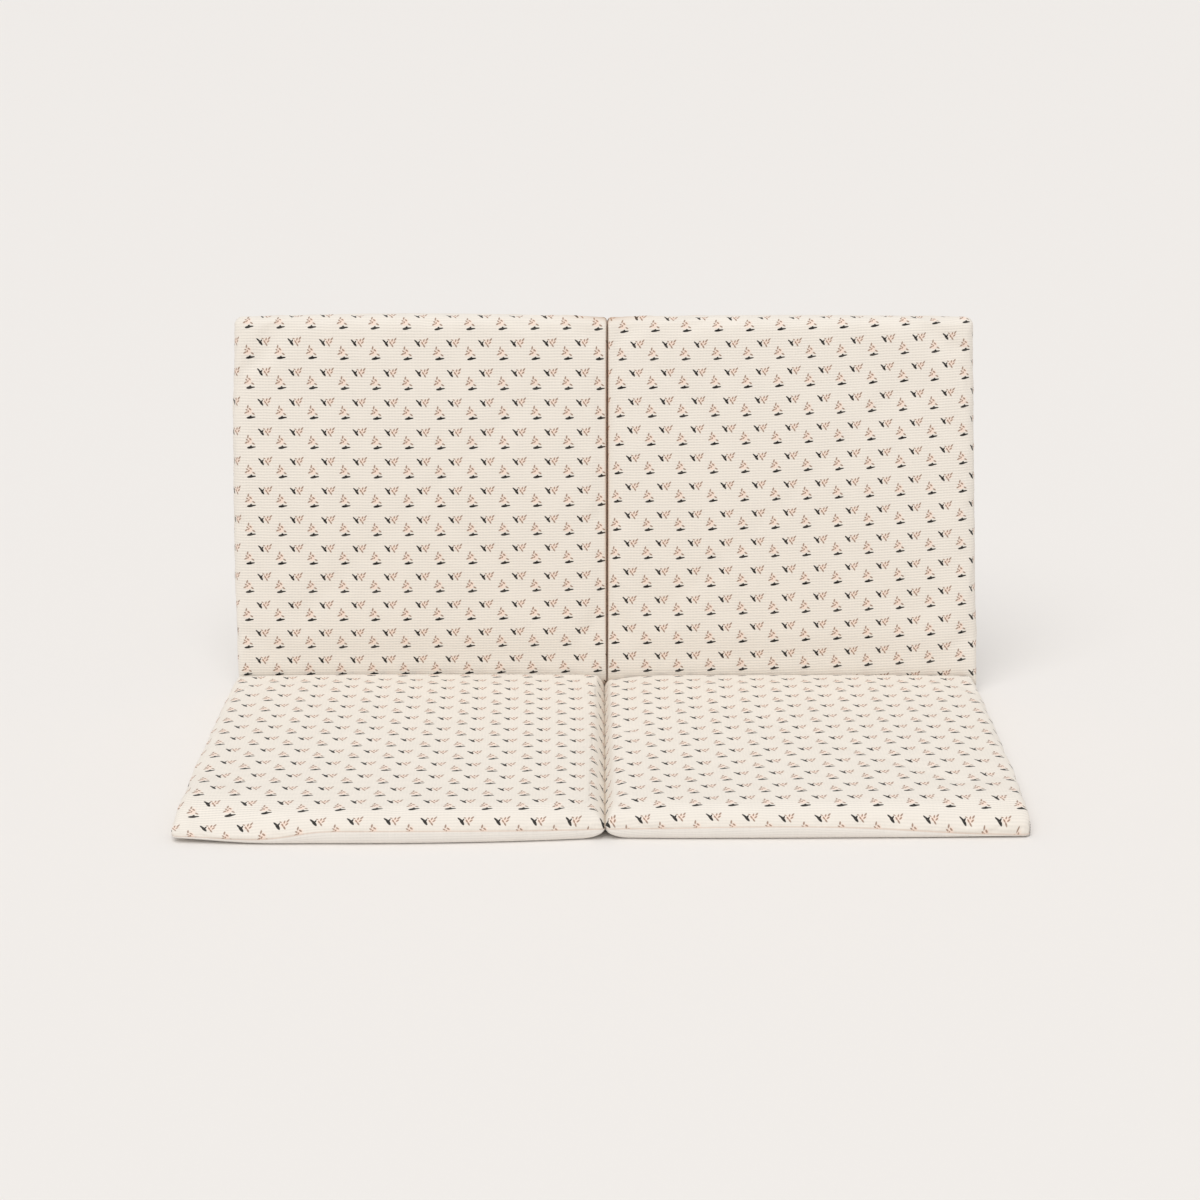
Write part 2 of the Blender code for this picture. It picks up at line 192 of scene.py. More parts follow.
LEANING_SPRIG = {
    "leaf": (
        {"across": 0.7, "up": -1.0, "length": 6.6, "width": 2.5, "turn": -54},
        {"across": -1.7, "up": 2.0, "length": 5.4, "width": 1.7, "turn": -42},
        {"across": 1.6, "up": 0.9, "length": 3.8, "width": 1.4, "turn": 60},
    ),
    "petal": (
        {"across": 3.8, "up": 4.1, "length": 2.9, "width": 1.5, "turn": -20},
        {"across": 12.6, "up": 4.7, "length": 4.6, "width": 1.9, "turn": 50},
        {"across": 8.5, "up": 3.6, "length": 3.6, "width": 1.7, "turn": 72},
        {"across": 11.2, "up": 0.6, "length": 4.0, "width": 1.7, "turn": 40},
        {"across": 6.2, "up": 0.2, "length": 4.0, "width": 1.8, "turn": -58},
        {"across": 8.6, "up": -3.2, "length": 4.4, "width": 1.9, "turn": -58},
    ),
    "blush": (
        {"across": 8.4, "up": 1.2, "length": 11.5, "width": 7.5, "turn": 14},
    ),
}
LEANING_SPRIG_ACROSS = 14.1  # where its leaf lies from the upright sprig's leaf
LEANING_SPRIG_UP = 19.7


class Wire:
    """A value that runs through a tree of nodes. Arithmetic on it adds Math nodes to the tree."""

    def __init__(self, tree, socket=None):
        self.tree = tree
        self.socket = socket

    def node(self, kind, settings=(), inputs=(), output=0):
        """Adds a node. Its settings come first, then its sockets' values or links."""
        made = self.tree.nodes.new(kind)
        for name, value in dict(settings).items():
            setattr(made, name, value)
        for name, value in dict(inputs).items():
            if isinstance(value, Wire):
                self.tree.links.new(value.socket, made.inputs[name])
            else:
                made.inputs[name].default_value = value
        return Wire(self.tree, made.outputs[output])

    def math(self, operation, *values):
        """What a Math node makes of this value and any further ones."""
        return self.node(
            "ShaderNodeMath", {"operation": operation}, dict(enumerate((self, *values)))
        )

    def __add__(self, other):
        return self.math("ADD", other)

    def __sub__(self, other):
        return self.math("SUBTRACT", other)

    def __rsub__(self, other):
        return self.math("MULTIPLY", -1).math("ADD", other)

    def __mul__(self, other):
        return self.math("MULTIPLY", other)

    __radd__ = __add__
    __rmul__ = __mul__

    def smaller(self, other):
        return self.math("MINIMUM", other)

    def step(self, low, high):
        """0 below low and 1 above high, smoothly between them. High may be the lower one."""
        return self.node(
            "ShaderNodeMapRange",
            {"interpolation_type": "SMOOTHSTEP"},
            {"Value": self, "From Min": low, "From Max": high},
        )

    def part(self, number):
        """One coordinate of a vector."""
        return self.node("ShaderNodeSeparateXYZ", inputs={0: self}, output=number)

    def over(self, colour, share):
        """This colour with another laid over it, as far as share says."""
        return self.node(
            "ShaderNodeMix",
            {"data_type": "RGBA"},
            {0: share, 6: self, 7: colour},
            output=2,
        )


def nearest_stroke(place, strokes):
    """How far a place is from the nearest of some strokes, where 1 is a stroke's own edge."""
    nearest = None
    for stroke in strokes:
        inside = place.node(
            "ShaderNodeMapping",
            {"vector_type": "TEXTURE"},
            {
                "Vector": place,
                "Location": (stroke["across"], stroke["up"], 0),
                "Rotation": (0, 0, math.radians(stroke["turn"])),
                "Scale": (stroke["length"] / 2, stroke["width"] / 2, 1),
            },
        )
        away = inside.node(
            "ShaderNodeVectorMath", {"operation": "LENGTH"}, {0: inside}, output="Value"
        )
        nearest = away if nearest is None else nearest.smaller(away)
    return nearest


def sprig_masks(cloth, sprig, across, up, ink):
    """Where a sprig's leaf, petals and blush lie, from 0 to 1, repeated over the cloth."""
    x = cloth.part(0) - across
    y = cloth.part(1) - up
    x = x.math("WRAP", PRINT_ACROSS / 2, -PRINT_ACROSS / 2)
    y = y.math("WRAP", PRINT_UP / 2, -PRINT_UP / 2)
    place = cloth.node("ShaderNodeCombineXYZ", inputs={0: x, 1: y})
    leaf = nearest_stroke(place, sprig["leaf"]).step(*(edge * ink for edge in LEAF_EDGE))
    petal = nearest_stroke(place, sprig["petal"]).step(*PETAL_EDGE)
    blush = nearest_stroke(place, sprig["blush"]).step(*BLUSH_EDGE)
    return leaf, petal, blush


def cloth_finish(name, colour, ink):
    """Waffle cotton. Its UV map holds each place on the flat cloth in millimetres, and ink says
    how far the print's dark leaves have spread into it, with no print on plain cloth."""
    made = bpy.data.materials.new(name)
    made.use_nodes = True
    shader = made.node_tree.nodes["Principled BSDF"]
    wire = Wire(made.node_tree)
    flat = wire.node("ShaderNodeUVMap", {"uv_map": "cloth"})
    wobble = wire.node(
        "ShaderNodeTexNoise",
        inputs={"Vector": flat, "Scale": WOBBLE_SCALE, "Detail": 1.0},
        output=1,
    )
    cloth = wire.node(
        "ShaderNodeVectorMath",
        {"operation": "MULTIPLY_ADD"},
        {0: wobble, 1: (WOBBLE, WOBBLE, 0), 2: flat},
    )
    ridges = []
    for number, pitch in ((0, WAFFLE_ACROSS), (1, WAFFLE_UP)):
        wave = (cloth.part(number) * (math.pi / pitch)).math("COSINE").math("ABSOLUTE")
        ridges.append(wave.math("POWER", RIDGE_SHARPNESS))
    waffle = 1 - (1 - ridges[0] * COLUMN_SHARE) * (1 - ridges[1])
    # The shade value: 0 in the waffle's pits, which are painted darker as shade, and 1 on its
    # ridges.
    shade = waffle.step(0.0, RIDGE_TOP)
    seam = wire.node("ShaderNodeUVMap", {"uv_map": "seam"})
    flattened = seam.part(1).step(STRETCH_REACH, STRETCH_REACH / 3) * STRETCH_SHARE
    waffle = waffle * (1 - flattened) + flattened
    shade = shade * (1 - flattened) + flattened * STRETCHED_SHADE
    threads = wire.node(
        "ShaderNodeTexVoronoi",
        {"feature": "F1", "distance": "CHEBYCHEV"},
        {"Vector": flat, "Scale": 1 / THREAD_PITCH, "Randomness": THREAD_UNEVEN},
    )
    mottle = wire.node(
        "ShaderNodeTexNoise", inputs={"Vector": flat, "Scale": MOTTLE_SCALE, "Detail": 3.0}
    )

    base = wire.node("ShaderNodeRGB")
    base.socket.default_value = srgb(*colour)
    # painted shade: the colour of the waffle's pits, darker than the cloth's own
    pit_shade = wire.node("ShaderNodeRGB")
    pit_shade.socket.default_value = srgb(*(value * PIT_SHADE_SHARE - PIT_SHADE_DARKER for value in colour))
    tone = pit_shade.over(base, shade)
    darker = srgb(*(value * MOTTLE_SHARE for value in colour))
    tone = tone.over(darker, mottle.step(*MOTTLE_EDGE) * MOTTLE_COVER)
    if ink:
        take = PIT_INK + shade * (1 - PIT_INK)
        for sprig, across, up in (
            (UPRIGHT_SPRIG, 0.0, 0.0),
            (LEANING_SPRIG, LEANING_SPRIG_ACROSS, LEANING_SPRIG_UP),
        ):
            leaf, petal, blush = sprig_masks(cloth, sprig, across, up, ink)
            tone = tone.over(srgb(*BLUSH_INK), blush * take * BLUSH_COVER)
            tone = tone.over(srgb(*PETAL_INK), petal * take * PETAL_COVER)
            tone = tone.over(srgb(*LEAF_INK), leaf * take)
    seam_line = seam.part(1).step(SEAM_LINE, SEAM_LINE_FULL)
    tone = tone.over(srgb(*SEAM_SHADE), seam_line * SEAM_COVER)
    # Painted shade on the cloth deep in the stitched creases.
    crease = wire.node("ShaderNodeUVMap", {"uv_map": "crease"})
    tone = tone.over(srgb(*CREASE_SHADE), crease.part(0) * CREASE_SHADE_COVER)
    made.node_tree.links.new(tone.socket, shader.inputs["Base Color"])

    gather = wire.node(
        "ShaderNodeMapping", inputs={"Vector": seam, "Scale": (1 / PUCKER_PITCH, PUCKER_LONG, 1)}
    )
    pucker = wire.node("ShaderNodeTexNoise", inputs={"Vector": gather, "Scale": 1.0, "Detail": 1.0})
    drawn_in = seam.part(1).step(PUCKER_REACH, 0.0)
    gathered = wire.node(
        "ShaderNodeBump",
        inputs={"Strength": 1.0, "Distance": PUCKER_DEPTH, "Height": pucker * drawn_in},
    )
    weave = wire.node(
        "ShaderNodeBump",
        inputs={
            "Strength": 1.0,
            "Distance": THREAD_DEPTH,
            "Height": threads,
            "Normal": gathered,
        },
    )
    relief = wire.node(
        "ShaderNodeBump",
        inputs={"Strength": 1.0, "Distance": WAFFLE_DEPTH, "Height": waffle, "Normal": weave},
    )
    made.node_tree.links.new(relief.socket, shader.inputs["Normal"])
    shader.inputs["Roughness"].default_value = ROUGHNESS
    shader.inputs["Specular IOR Level"].default_value = 0.25
    shader.inputs["Sheen Weight"].default_value = 0.12
    shader.inputs["Sheen Roughness"].default_value = 0.6
    return made


printed_cloth = {
    "upper": cloth_finish("printed_cloth", CREAM, ink=1.0),
    "lower": cloth_finish("printed_cloth_lying", CREAM, ink=1.1),
}
plain_cloth = cloth_finish("plain_cloth", CREAM_BELOW, ink=0)

# The four padded panels. Each is a foam pad inside its own pocket of the cover: it is boxy at
# the open edges, where a seam joins the printed cloth to the plain one, and is drawn in to
# nothing along the stitch lines that it shares with its neighbours.
MM = 0.001
TINY = 1e-9  # stands in for nothing in a divisor or a radius
MAT_WIDTH = 992 * MM
LOWER_LENGTH = 509 * MM
UPPER_LENGTH = 502 * MM
HALF_THICK = 18 * MM
FOLD_DROP = 15 * MM  # how far the fold's stitching lies below the middle of the lying pads
LEAN = math.radians(8)  # how far the standing pads lean back
# How far a pad's seam lies from the middle of its stitch line, and from the band that is there.
NOSE_LOWER = 0.25 * MM
NOSE_UPPER = 0.35 * MM
NOSE_FOLD = 1.7 * MM
CLEAR = 0.3 * MM
# How far each corner of a pad is rounded, by the two edges that meet there.
CORNERS = {
    ("hem", "hem"): 8 * MM,
    ("hem", "front"): 8 * MM,
    ("valley", "front"): 5 * MM,
    ("crease", "hem"): 5 * MM,
    ("hem", "fold"): 6 * MM,
    ("valley", "fold"): 8 * MM,
    ("crease", "fold"): 5 * MM,
}
PRESS_ANGLE = (math.pi / 2 + LEAN) / 2  # at the fold, the halves press together on this slope
PRESS_GAP = 0.5 * MM
FACE_GAP = 0.8 * MM  # between the lying pads' ends and the standing pads' faces
PRESS_SOFT = 1.2 * MM
CORNER_CROWD = 0.25  # how far a ring's points crowd towards its corners
CORNER_SHARPNESS = 8  # how quickly one edge's form gives way to the next at a corner
FACE_RINGS = 50
EDGE_RINGS = 14
FINE_STEPS = 400  # at how many angles an edge's cloth is measured
USUAL_SQUARE = 2.8  # how square a usual edge is
PAD_HALF = 250  # half the width of a pad, in millimetres
CREASE_SHADE_REACH = 16.5 * MM  # how far up from a stitch line the printed cloth takes the painted crease shade
CREASE_SHADE_REACH_UNDER = 6 * MM
CREASE_SHADE_SHARPNESS = 6
SINK_SHARPNESS = 6  # a pad's top sinks close to its fold
LIFT_SHARPNESS = 4
DROOP_SHARPNESS = 8  # a pad's top falls close to its hem
DROOP_ACROSS = 118 * MM  # how far the fall of an outer corner reaches along the front
DROOP_BACK = 42 * MM
NOTCH_DROP = 4.5 * MM  # how far the front seam comes down towards the notch in the middle
NOTCH_REACH = 150 * MM
FRONT_BACK = 45 * MM  # how far from the front edge its print is pulled back
FRONT_SHARPNESS = 4  # how quickly that pull ends along the edge
START_THINNER = 0.85  # the cloth fills out from a pad with this share of its thickness
FILL_FRAMES = 14
MOST_MOVED = 2.4 * MM
FREE_FROM_STITCH = (3 * MM, 22 * MM)  # where the cloth begins to move, and where it is free
FREE_FROM_FOLD = (45 * MM, 85 * MM)
CLOTH_SETTINGS = {
    "quality": 5,
    "mass": 0.3,
    "air_damping": 5,
    "tension_stiffness": 15,
    "compression_stiffness": 15,
    "shear_stiffness": 5,
    "bending_stiffness": 1.0,
    "shrink_min": -0.008,  # the cover is cut a little larger than its foam
    "use_pressure": True,
    "uniform_pressure_force": 0.6,
}
SIDES = ("left", "right", "near", "far")
# How each kind of edge turns from face to seam: how far it reaches in, how square it is, and how
# high the seam lies. A valley's reach is in its pad's row.
TURNS = {
    "hem": {"reach": 15 * MM, "square": 3.4, "seam": -2 * MM},
    "hem_under": {"reach": 13 * MM, "square": 3.2, "seam": -2 * MM},
    "front": {"reach": 28 * MM, "square": 2.5, "seam": 0.5 * MM},
    "front_under": {"reach": 13 * MM, "square": 3.2, "seam": 0.5 * MM},
    "valley": {"square": 1.25, "seam": -4 * MM},
    "valley_under": {"reach": 34 * MM, "square": 1.5, "seam": -4 * MM},
    "crease": {"reach": 4 * MM, "square": 3.2, "seam": 0.0},
    "crease_under": {"reach": 12 * MM, "square": 2.4, "seam": 0.0},
    "fold": {"reach": 36 * MM, "square": 2.2, "seam": 0.0},
    "fold_under": {"reach": 20 * MM, "square": 2.4, "seam": 0.0},
}

# One row for each pad, with the sizes of its form: crown, bow of each side, how its sides narrow
# or widen, how much longer the hem side is, how far a valley's slope reaches at the front and at
# the fold, how the top falls along the hem and at the outer corner, lift of that corner and drop
# of its seam, and how far the end at the fold and the corner in the middle of the mat are pressed
# down. Then how its print lies, in millimetres and degrees from the middle of the fold: where a
# dark leaf of an upright sprig starts the repeat, how much the cloth is eased across and up, how
# far its rows and columns turn, how far the cloth is pulled off at the pad's edges and corners,
# and how far and how wide its front rows are pulled back.
PADS = {
    "pad_lower_left": {
        "half": "lower",
        "side": "left",
        "crown": 3.5 * MM,
        "crown_under": 0.0,
        "bow": {"left": 4.0 * MM, "right": 0.0, "near": 12.0 * MM, "far": 0.0},
        "taper": -6.0 * MM,
        "flare": 0.0,
        "longer": 9.0 * MM,
        "valley": (19 * MM, 10 * MM),
        "droop": 4.5 * MM,
        "corner_droop": 19 * MM,
        "corner_lift": 5.5 * MM,
        "seam_drop": 15 * MM,
        "drop_reach": 145 * MM,
        "drop_square": 6,
        "sink": 3.0 * MM,
        "dip": 6.0 * MM,
        "dip_reach": 18 * MM,
        "print": {
            "start": (-175.9, -393.5),
            "ease": (0.998, 1.018),
            "rows": -2.02,
            "columns": 0.88,
            "pull_up": (-4.3, -0.2),
            "pull_across": (-3.0, 14.8),
            "pull_both": (-0.8, -6.0),
            "front_pull": 8 * MM,
            "front_reach": 420 * MM,
        },
    },
    "pad_lower_right": {
        "half": "lower",
        "side": "right",
        "crown": 3.2 * MM,
        "crown_under": 0.0,
        "bow": {"left": 0.0, "right": 3.5 * MM, "near": 4.0 * MM, "far": 0.0},
        "taper": 0.0,
        "flare": 0.0,
        "longer": -8.0 * MM,
        "valley": (12 * MM, 7 * MM),
        "droop": 2.0 * MM,
        "corner_droop": 7 * MM,
        "corner_lift": 2.5 * MM,
        "seam_drop": 18 * MM,
        "drop_reach": 160 * MM,
        "drop_square": 2,
        "sink": 4.5 * MM,
        "dip": 9.0 * MM,
        "dip_reach": 40 * MM,
        "print": {
            "start": (143.5, -345.0),
            "ease": (0.998, 0.996),
            "rows": 1.67,
            "columns": 0.61,
            "pull_up": (4.5, 6.4),
            "pull_across": (1.0, 0.9),
            "pull_both": (1.2, -1.5),
            "front_pull": 7 * MM,
            "front_reach": 170 * MM,
        },
    },
    "pad_upper_left": {
        "half": "upper",
        "side": "left",
        "crown": 4.0 * MM,
        "crown_under": 2.5 * MM,
        "bow": {"left": 3.0 * MM, "right": 0.0, "near": 0.0, "far": 5.0 * MM},
        "taper": 8.0 * MM,
        "flare": -1.5 * MM,
        "longer": 0.0,
        "droop": 0.0,
        "corner_droop": 0.0,
        "corner_lift": 0.0,
        "seam_drop": 5 * MM,
        "drop_reach": 70 * MM,
        "drop_square": 2,
        "sink": 0.0,
        "dip": 0.0,
        "dip_reach": 20 * MM,
        "print": {
            "start": (-255.3, 446.6),
            "ease": (0.998, 1.001),
            "rows": 0.15,
            "columns": -1.00,
            "pull_up": (-5.4, 3.8),
            "pull_across": (1.8, 0.9),
            "pull_both": (-3.7, -2.0),
        },
    },
    "pad_upper_right": {
        "half": "upper",
        "side": "right",
        "crown": 3.6 * MM,
        "crown_under": 2.5 * MM,
        "bow": {"left": 0.0, "right": 0.5 * MM, "near": 0.0, "far": 3.0 * MM},
        "taper": 9.0 * MM,
        "flare": 9.0 * MM,
        "longer": 0.0,
        "droop": 0.0,
        "corner_droop": 0.0,
        "corner_lift": 0.0,
        "seam_drop": 5 * MM,
        "drop_reach": 70 * MM,
        "drop_square": 2,
        "sink": 0.0,
        "dip": 0.0,
        "dip_reach": 20 * MM,
        "print": {
            "start": (271.8, 416.1),
            "ease": (0.983, 0.985),
            "rows": 1.74,
            "columns": -0.36,
            "pull_up": (3.3, -3.3),
            "pull_across": (-2.4, 3.5),
            "pull_both": (-5.0, -0.7),
        },
    },
}

stitch_x = {
    half: sum(corner.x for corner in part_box("stitch_" + half)) / 2 - fold_x
    for half in ("lower", "upper")
}
fold_line = Vector((fold_x, fold_low.y + NOSE_FOLD - CLEAR, HALF_THICK - FOLD_DROP))


def mix(low, high, share):
    """A value as far from low to high as share says."""
    return low + (high - low) * share


def soft_max(first, second, soft):
    """The larger of two lengths, with the step between them rounded off."""
    apart = first - second
    return (first + second + np.sqrt(apart * apart + soft * soft)) / 2


def edge_kinds(pad):
    """What each side of a pad is: an open edge, or a stitch line shared with a neighbour."""
    lower = pad["half"] == "lower"
    beside = "valley" if lower else "crease"
    return {
        "left": "hem" if pad["side"] == "left" else beside,
        "right": beside if pad["side"] == "left" else "hem",
        "near": "front" if lower else "fold",
        "far": "fold" if lower else "hem",
    }


def outline(pad):
    """The rectangle of a pad's seam on the flat mat."""
    lower = pad["half"] == "lower"
    nose = NOSE_LOWER if lower else NOSE_UPPER
    if pad["side"] == "left":
        low_x, high_x = -MAT_WIDTH / 2, stitch_x[pad["half"]] - nose
    else:
        low_x, high_x = stitch_x[pad["half"]] + nose, MAT_WIDTH / 2
    if lower:
        return low_x, high_x, -LOWER_LENGTH, -NOSE_FOLD
    return low_x, high_x, NOSE_FOLD, UPPER_LENGTH


def crowd(place):
    """Moves a place along a ring towards its nearer corner."""
    return place * (1 + CORNER_CROWD * (1 - place * place))


def rounded(x, y, box, radius):
    """Pulls points on a rectangle's rim onto the rectangle with its corners rounded."""
    inner_x = np.clip(x, box[0] + radius, box[1] - radius)
    inner_y = np.clip(y, box[2] + radius, box[3] - radius)
    off = np.hypot(x - inner_x, y - inner_y)
    keep = np.minimum(1, radius / np.maximum(off, TINY))
    return inner_x + (x - inner_x) * keep, inner_y + (y - inner_y) * keep


def edge_profile(turn, reach, square, height):
    """How far in from the rim an edge's cloth lies at each angle, how much cloth lies between
    there and the edge's inner end, and how much cloth the whole edge takes."""
    fine = np.linspace(0, math.pi / 2, FINE_STEPS)
    inset = reach * (1 - np.maximum(0, np.cos(fine)) ** (2 / square))
    rise = abs(height) * np.maximum(0, np.sin(fine)) ** (2 / square)
    steps = np.hypot(np.diff(inset), np.diff(rise))
    cloth = np.concatenate([[0], np.cumsum(steps)])
    return np.interp(turn, fine, inset), cloth[-1] - np.interp(turn, fine, cloth), cloth[-1]


def ring_turns():
    """The edge angle of each ring, so that the rings of a usual edge lie evenly on its cloth."""
    fine = np.linspace(0, math.pi / 2, FINE_STEPS)
    inset = 1 - np.maximum(0, np.cos(fine)) ** (2 / USUAL_SQUARE)
    rise = np.maximum(0, np.sin(fine)) ** (2 / USUAL_SQUARE)
    cloth = np.concatenate([[0], np.cumsum(np.hypot(np.diff(inset), np.diff(rise)))])
    edge = np.interp(np.linspace(cloth[-1], 0, EDGE_RINGS + 1), cloth, fine)
    return np.concatenate([np.full(FACE_RINGS, math.pi / 2), edge])


def ring_grid():
    """The columns and rows of a pad's grid, and each point's ring and place along it."""
    rings = FACE_RINGS + EDGE_RINGS
    steps = np.arange(-rings, rings + 1)
    column, row = np.meshgrid(steps, steps)
    ring = np.maximum(np.abs(column), np.abs(row))
    return column, row, ring, crowd(column / np.maximum(ring, 1)), crowd(row / np.maximum(ring, 1))


def pad_cloth(pad, under):
    """One cloth of a pad: its places on the flat mat, on the cut cloth and from its seam, and how
    much painted shade it takes deep in a stitched crease."""
    column, row, ring, a, b = ring_grid()
    turn = ring_turns()[ring]
    share = np.minimum(1, ring / FACE_RINGS)
    kinds = edge_kinds(pad)
    turns = {side: TURNS[kinds[side] + ("_under" if under else "")] for side in SIDES}

    # How much of each side's form a point takes.
    pulls = {"left": -a, "right": a, "near": -b, "far": b}
    pulls = {side: np.maximum(0, pull) ** CORNER_SHARPNESS for side, pull in pulls.items()}
    total = np.maximum(sum(pulls.values()), TINY)
    shares = {side: pull / total for side, pull in pulls.items()}

    # How far in from the rim each side's edge has come, and how much cloth it has taken.
    low_x, high_x, low_y, high_y = outline(pad)
    inset, beyond, from_seam = {}, {}, 0
    for side, edge in turns.items():
        height = HALF_THICK - edge["seam"] if not under else HALF_THICK + edge["seam"]
        if kinds[side] == "fold" and pad["half"] == "lower":
            height += -FOLD_DROP if under else FOLD_DROP
        reaches = (edge["reach"],) * 2 if "reach" in edge else pad["valley"]
        ends = [edge_profile(turn, reach, edge["square"], height) for reach in reaches]
        to_fold = (b + 1) / 2
        inset[side], spare, whole = (mix(front, back, to_fold) for front, back in zip(*ends))
        reach = mix(*reaches, to_fold)
        beyond[side] = shares[side] * (inset[side] - reach + spare)
        from_seam = from_seam + shares[side] * (whole - spare)
    from_seam = from_seam + (1 - share) * (MAT_WIDTH / 4)
    # Painted shade on the cloth deep in a stitched crease, fading out away from the stitch line.
    stitched = sum(shares[side] for side in SIDES if kinds[side] == "crease")
    crease_reach = CREASE_SHADE_REACH_UNDER if under else CREASE_SHADE_REACH
    crease = stitched * np.exp(-((from_seam / crease_reach) ** CREASE_SHADE_SHARPNESS))
    # The point's place in its own ring, whose corners are rounded.
    radius = np.select(
        [
            (a > 0 if end_x == "right" else a <= 0) & (b > 0 if end_y == "far" else b <= 0)
            for end_x in ("left", "right")
            for end_y in ("near", "far")
        ],
        [
            CORNERS[kinds[end_x], kinds[end_y]]
            for end_x in ("left", "right")
            for end_y in ("near", "far")
        ],
    )
    box = (
        low_x + inset["left"],
        high_x - inset["right"],
        low_y + inset["near"],
        high_y - inset["far"],
    )
    middle_x, middle_y = (box[0] + box[1]) / 2, (box[2] + box[3]) / 2
    x = mix(middle_x, mix(box[0], box[1], (a + 1) / 2), share)
    y = mix(middle_y, mix(box[2], box[3], (b + 1) / 2), share)
    middles = (middle_x, middle_x, middle_y, middle_y)
    ring_box = [mix(middle, edge, share) for middle, edge in zip(middles, box)]
    x, y = rounded(x, y, ring_box, np.maximum(radius * share, TINY))
    flat_x = x - beyond["left"] + beyond["right"]
    flat_y = y - beyond["near"] + beyond["far"]

    # The seam's height, which falls at the outer corner and towards the notch, and the cloth's.
    square = np.where(ring > 0, sum(shares[side] * turns[side]["square"] for side in SIDES), 2)
    rise = np.maximum(0, np.sin(turn)) ** (2 / square)
    seam = sum(shares[side] * turns[side]["seam"] for side in SIDES)
    if pad["half"] == "lower":
        seam = seam - shares["far"] * FOLD_DROP
    corner_x = low_x if pad["side"] == "left" else high_x
    corner_y = low_y if pad["half"] == "lower" else high_y
    to_corner = np.hypot(x - corner_x, y - corner_y) / pad["drop_reach"]
    seam = seam - pad["seam_drop"] * np.exp(-(to_corner ** pad["drop_square"]))
    inner_x = high_x if pad["side"] == "left" else low_x
    if pad["half"] == "lower":
        to_notch = np.hypot(x - inner_x, y - low_y) / NOTCH_REACH
        seam = seam - NOTCH_DROP * shares["near"] * np.exp(-to_notch * to_notch)
        from_notch = np.abs(x - inner_x) / pad["print"]["front_reach"]
        along_front = from_notch**FRONT_SHARPNESS
        from_front = ((y - low_y) / FRONT_BACK) ** 2
        flat_y = flat_y - pad["print"]["front_pull"] * np.exp(-along_front - from_front)
    across = 2 * (x - low_x) / (high_x - low_x) - 1
    along = 2 * (y - low_y) / (high_y - low_y) - 1
    to_hem = (1 - across) / 2 if pad["side"] == "left" else (1 + across) / 2
    swell = np.maximum(0, 1 - across * across) * np.maximum(0, 1 - along * along)
    if under:
        z = mix(seam, -HALF_THICK - pad["crown_under"] * swell, rise)
    else:
        z = mix(seam, HALF_THICK + pad["crown"] * swell, rise)
        inner_y = high_y if pad["half"] == "lower" else low_y
        to_inner = np.hypot(x - inner_x, y - inner_y) / pad["dip_reach"]
        z = z - pad["dip"] * rise * np.exp(-to_inner * to_inner)
        z = z - pad["sink"] * rise * np.maximum(0, (1 + along) / 2) ** SINK_SHARPNESS
        z = z - pad["droop"] * rise * np.maximum(0, to_hem) ** DROOP_SHARPNESS
        near_corner = ((x - corner_x) / DROOP_ACROSS) ** 2 + ((y - corner_y) / DROOP_BACK) ** 2
        z = z - pad["corner_droop"] * rise * np.exp(-near_corner)
    z = z + pad["corner_lift"] * np.exp(-LIFT_SHARPNESS * to_corner * to_corner)

    # The bow and taper of the sides.
    outer = (1 + along) / 2 if pad["half"] == "upper" else (1 - along) / 2
    bow_x = np.where(across > 0, pad["bow"]["right"], pad["bow"]["left"])
    at_hem = np.where(across > 0, kinds["right"] == "hem", kinds["left"] == "hem")
    bow_y = np.where(along > 0, pad["bow"]["far"], pad["bow"]["near"])
    ends = pad["taper"] * outer**2 - pad["flare"] * (1 - outer) ** 2
    swell_x = across * (bow_x * (1 - along * along) - ends * at_hem)
    swell_y = along * bow_y * (1 - across * across) - pad["longer"] * outer * to_hem
    x, y = x + swell_x, y + swell_y
    flat_x, flat_y = flat_x + swell_x, flat_y + swell_y

    # At the fold, the two halves stop each other.
    above_fold = z + FOLD_DROP if pad["half"] == "lower" else z
    slope = (PRESS_GAP + np.cos(PRESS_ANGLE) * above_fold) / np.sin(PRESS_ANGLE)
    if pad["half"] == "lower":
        face = (HALF_THICK + FACE_GAP) / math.cos(LEAN) - above_fold * math.tan(LEAN)
        y = -soft_max(-y, -soft_max(-slope, -face, PRESS_SOFT), PRESS_SOFT)
    else:
        y = soft_max(y, slope, PRESS_SOFT)
    around = np.where(np.abs(column) > np.abs(row), y, x)
    return (
        np.stack([x, y, z], axis=-1),
        printed_place(np.stack([flat_x, flat_y], axis=-1) / MM, pad),
        np.stack([around, from_seam], axis=-1) / MM,
        np.stack([crease, crease], axis=-1),
    )


def printed_place(flat, pad):
    """Where a place on the flat mat falls on the printed cloth, both in millimetres."""
    lay = pad["print"]
    middle = (
        -PAD_HALF if pad["side"] == "left" else PAD_HALF,
        -PAD_HALF if pad["half"] == "lower" else PAD_HALF,
    )
    off = (flat - np.array(middle)) / PAD_HALF
    place = flat - np.array(lay["start"])
    place = place - off[..., 1:] ** 2 * np.array(lay["pull_up"])
    place = place - off[..., :1] ** 2 * np.array(lay["pull_across"])
    place = place - off[..., :1] * off[..., 1:] * np.array(lay["pull_both"])
    rows, columns = math.radians(lay["rows"]), math.radians(lay["columns"])
    axes = np.array(((math.cos(rows), -math.sin(columns)), (math.sin(rows), math.cos(columns))))
    return place @ np.linalg.inv(axes * np.array(lay["ease"])).T


def stand(points, half):
    """Puts points of the flat mat where the folded mat has them."""
    if half == "lower":
        turned = points + np.array((0, 0, FOLD_DROP))
    else:
        turned = points @ np.array(Matrix.Rotation(math.pi / 2 - LEAN, 3, "X")).T
    return turned + np.array(fold_line)


def squares(number):
    """The four corners of each square of a grid of numbered points."""
    corners = (number[:-1, :-1], number[:-1, 1:], number[1:, 1:], number[1:, :-1])
    return np.stack(corners, axis=-1).reshape(-1, 4)


